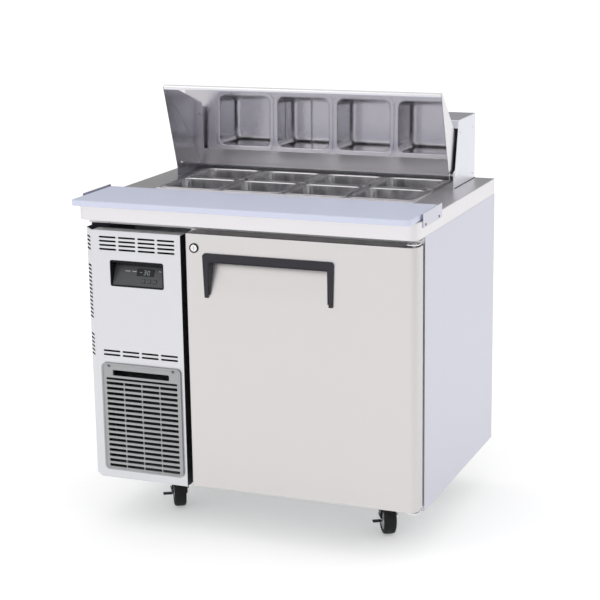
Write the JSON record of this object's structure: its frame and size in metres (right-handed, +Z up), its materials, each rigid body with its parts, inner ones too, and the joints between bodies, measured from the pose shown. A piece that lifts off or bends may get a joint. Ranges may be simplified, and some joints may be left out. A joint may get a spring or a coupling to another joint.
{
  "type": "sandwich prep table",
  "caption": "Refrigerated sandwich prep table: worktop with cutting board and pan well under a tilting lid, hinged door, louvred machine panel, casters.",
  "frame": {"origin": "on the floor, under the middle of the outer box", "axes": "+X to the right seen from the front, +Y to the back, +Z up"},
  "size_m": [0.906, 0.708, 1.1084],
  "materials": {
    "steel": "brushed stainless sheet",
    "mirror_steel": "mirror-polished stainless",
    "galvanised": "zinc-plated sheet",
    "liner": "satin stainless liner",
    "chrome": "bright plate",
    "board_plastic": "satin white polyethylene",
    "grille_plastic": "matte grey moulding",
    "charcoal_plastic": "matte charcoal moulding",
    "black_plastic": "satin black",
    "display_window": "dark tinted window",
    "black_rubber": "matte black rubber",
    "black_steel": "satin black enamel",
    "coil_copper": "bare copper and fins"
  },
  "bodies": {
    "cabinet": {"worktop": "steel", "side_panel_right": "steel", "side_panel_left": "steel", "front_rail": "steel", "shelf_rail_left": "steel", "shelf_rail_right": "steel", "louvred_front_panel": "steel", "rear_hood": "steel", "pan_frame": "steel", "board_bracket_right": "steel", "board_bracket_left": "steel", "back_panel": "galvanised", "base_tray": "galvanised", "door_hinge_top": "galvanised", "door_hinge_bottom": "galvanised", "cold_body": "liner", "evaporator_cover": "liner", "wire_shelf": "chrome", "grille_screw_left": "chrome", "grille_screw_right": "chrome", "lid_pivot_pin_left": "chrome", "lid_pivot_pin_right": "chrome", "removable_grille": "grille_plastic", "controller_face": "charcoal_plastic", "compressor": "black_plastic", "condenser_fan_shroud": "black_plastic", "controller_bezel": "black_plastic", "display_window": "display_window", "condenser_coil": "coil_copper"},
    "lid": {"lid_shell": "steel", "lid_mirror_liner": "mirror_steel"},
    "door": {"door_panel": "steel", "door_liner": "liner", "door_gasket": "black_rubber", "door_handle": "charcoal_plastic", "door_lock_ring": "black_plastic"},
    "lock_cylinder": {"door_lock_cylinder": "chrome"},
    "board": {"cutting_board": "board_plastic"},
    "fan": {"condenser_fan_blade": "charcoal_plastic"},
    "key_1": {"controller_key_1": "black_plastic"},
    "key_2": {"controller_key_2": "black_plastic"},
    "key_3": {"controller_key_3": "black_plastic"},
    "pan_front_1_body": {"pan_front_1": "mirror_steel"},
    "pan_front_2_body": {"pan_front_2": "mirror_steel"},
    "pan_front_3_body": {"pan_front_3": "mirror_steel"},
    "pan_front_4_body": {"pan_front_4": "mirror_steel"},
    "pan_back_1_body": {"pan_back_1": "mirror_steel"},
    "pan_back_2_body": {"pan_back_2": "mirror_steel"},
    "pan_back_3_body": {"pan_back_3": "mirror_steel"},
    "pan_back_4_body": {"pan_back_4": "mirror_steel"},
    "fork_front_left": {"caster_fork_front_left": "black_steel"},
    "wheel_front_left": {"caster_wheel_front_left": "black_rubber"},
    "fork_front_right": {"caster_fork_front_right": "black_steel"},
    "wheel_front_right": {"caster_wheel_front_right": "black_rubber"},
    "fork_back_left": {"caster_fork_back_left": "black_steel"},
    "wheel_back_left": {"caster_wheel_back_left": "black_rubber"},
    "fork_back_right": {"caster_fork_back_right": "black_steel"},
    "wheel_back_right": {"caster_wheel_back_right": "black_rubber"},
    "brake_front_left": {"brake_lever_front_left": "galvanised"},
    "brake_front_right": {"brake_lever_front_right": "galvanised"}
  },
  "joints": [
    {"name": "lid_tilt", "type": "hinge", "parent": "cabinet", "child": "lid", "pos_m": [0, 0.17, 0.884], "axis": [1, 0, 0], "range_deg": [0, 72.4]},
    {"name": "door_swing", "type": "hinge", "parent": "cabinet", "child": "door", "pos_m": [0.433, -0.288, 0.46], "axis": [0, 0, 1], "range_deg": [0, 110]},
    {"name": "lock_turn", "type": "hinge", "parent": "door", "child": "lock_cylinder", "pos_m": [-0.1275, -0.31, 0.755], "axis": [0, 1, 0], "range_deg": [0, 90]},
    {"name": "board_lift", "type": "slide", "parent": "cabinet", "child": "board", "axis": [0, 0, 1], "range_m": [0, 0.05]},
    {"name": "fan_spin", "type": "hinge", "parent": "cabinet", "child": "fan", "pos_m": [-0.295, -0.185, 0.29], "axis": [0, 1, 0], "continuous": true},
    {"name": "key_1_press", "type": "slide", "parent": "cabinet", "child": "key_1", "axis": [0, 0.8906, -0.4547], "range_m": [0, 0.001], "stiffness_N_per_m": 300},
    {"name": "key_2_press", "type": "slide", "parent": "cabinet", "child": "key_2", "axis": [0, 0.8906, -0.4547], "range_m": [0, 0.001], "stiffness_N_per_m": 300},
    {"name": "key_3_press", "type": "slide", "parent": "cabinet", "child": "key_3", "axis": [0, 0.8906, -0.4547], "range_m": [0, 0.001], "stiffness_N_per_m": 300},
    {"name": "pan_front_1_lift", "type": "slide", "parent": "cabinet", "child": "pan_front_1_body", "axis": [0, 0, 1], "range_m": [0, 0.012]},
    {"name": "pan_front_2_lift", "type": "slide", "parent": "cabinet", "child": "pan_front_2_body", "axis": [0, 0, 1], "range_m": [0, 0.012]},
    {"name": "pan_front_3_lift", "type": "slide", "parent": "cabinet", "child": "pan_front_3_body", "axis": [0, 0, 1], "range_m": [0, 0.012]},
    {"name": "pan_front_4_lift", "type": "slide", "parent": "cabinet", "child": "pan_front_4_body", "axis": [0, 0, 1], "range_m": [0, 0.012]},
    {"name": "pan_back_1_lift", "type": "slide", "parent": "cabinet", "child": "pan_back_1_body", "axis": [0, 0, 1], "range_m": [0, 0.03]},
    {"name": "pan_back_2_lift", "type": "slide", "parent": "cabinet", "child": "pan_back_2_body", "axis": [0, 0, 1], "range_m": [0, 0.03]},
    {"name": "pan_back_3_lift", "type": "slide", "parent": "cabinet", "child": "pan_back_3_body", "axis": [0, 0, 1], "range_m": [0, 0.03]},
    {"name": "pan_back_4_lift", "type": "slide", "parent": "cabinet", "child": "pan_back_4_body", "axis": [0, 0, 1], "range_m": [0, 0.03]},
    {"name": "swivel_front_left", "type": "hinge", "parent": "cabinet", "child": "fork_front_left", "pos_m": [-0.296, -0.1, 0.118], "axis": [0, 0, 1], "continuous": true},
    {"name": "roll_front_left", "type": "hinge", "parent": "fork_front_left", "child": "wheel_front_left", "pos_m": [-0.281, -0.12598, 0.045], "axis": [0.866, 0.5, 0], "continuous": true},
    {"name": "brake_front_left_press", "type": "hinge", "parent": "fork_front_left", "child": "brake_front_left", "pos_m": [-0.281, -0.12598, 0.045], "axis": [0.866, 0.5, 0], "range_deg": [0, 30]},
    {"name": "swivel_front_right", "type": "hinge", "parent": "cabinet", "child": "fork_front_right", "pos_m": [0.296, -0.1, 0.118], "axis": [0, 0, 1], "continuous": true},
    {"name": "roll_front_right", "type": "hinge", "parent": "fork_front_right", "child": "wheel_front_right", "pos_m": [0.311, -0.12598, 0.045], "axis": [0.866, 0.5, 0], "continuous": true},
    {"name": "brake_front_right_press", "type": "hinge", "parent": "fork_front_right", "child": "brake_front_right", "pos_m": [0.311, -0.12598, 0.045], "axis": [0.866, 0.5, 0], "range_deg": [0, 30]},
    {"name": "swivel_back_left", "type": "hinge", "parent": "cabinet", "child": "fork_back_left", "pos_m": [-0.296, 0.244, 0.118], "axis": [0, 0, 1], "continuous": true},
    {"name": "roll_back_left", "type": "hinge", "parent": "fork_back_left", "child": "wheel_back_left", "pos_m": [-0.281, 0.21802, 0.045], "axis": [0.866, 0.5, 0], "continuous": true},
    {"name": "swivel_back_right", "type": "hinge", "parent": "cabinet", "child": "fork_back_right", "pos_m": [0.296, 0.244, 0.118], "axis": [0, 0, 1], "continuous": true},
    {"name": "roll_back_right", "type": "hinge", "parent": "fork_back_right", "child": "wheel_back_right", "pos_m": [0.311, 0.21802, 0.045], "axis": [0.866, 0.5, 0], "continuous": true}
  ]
}
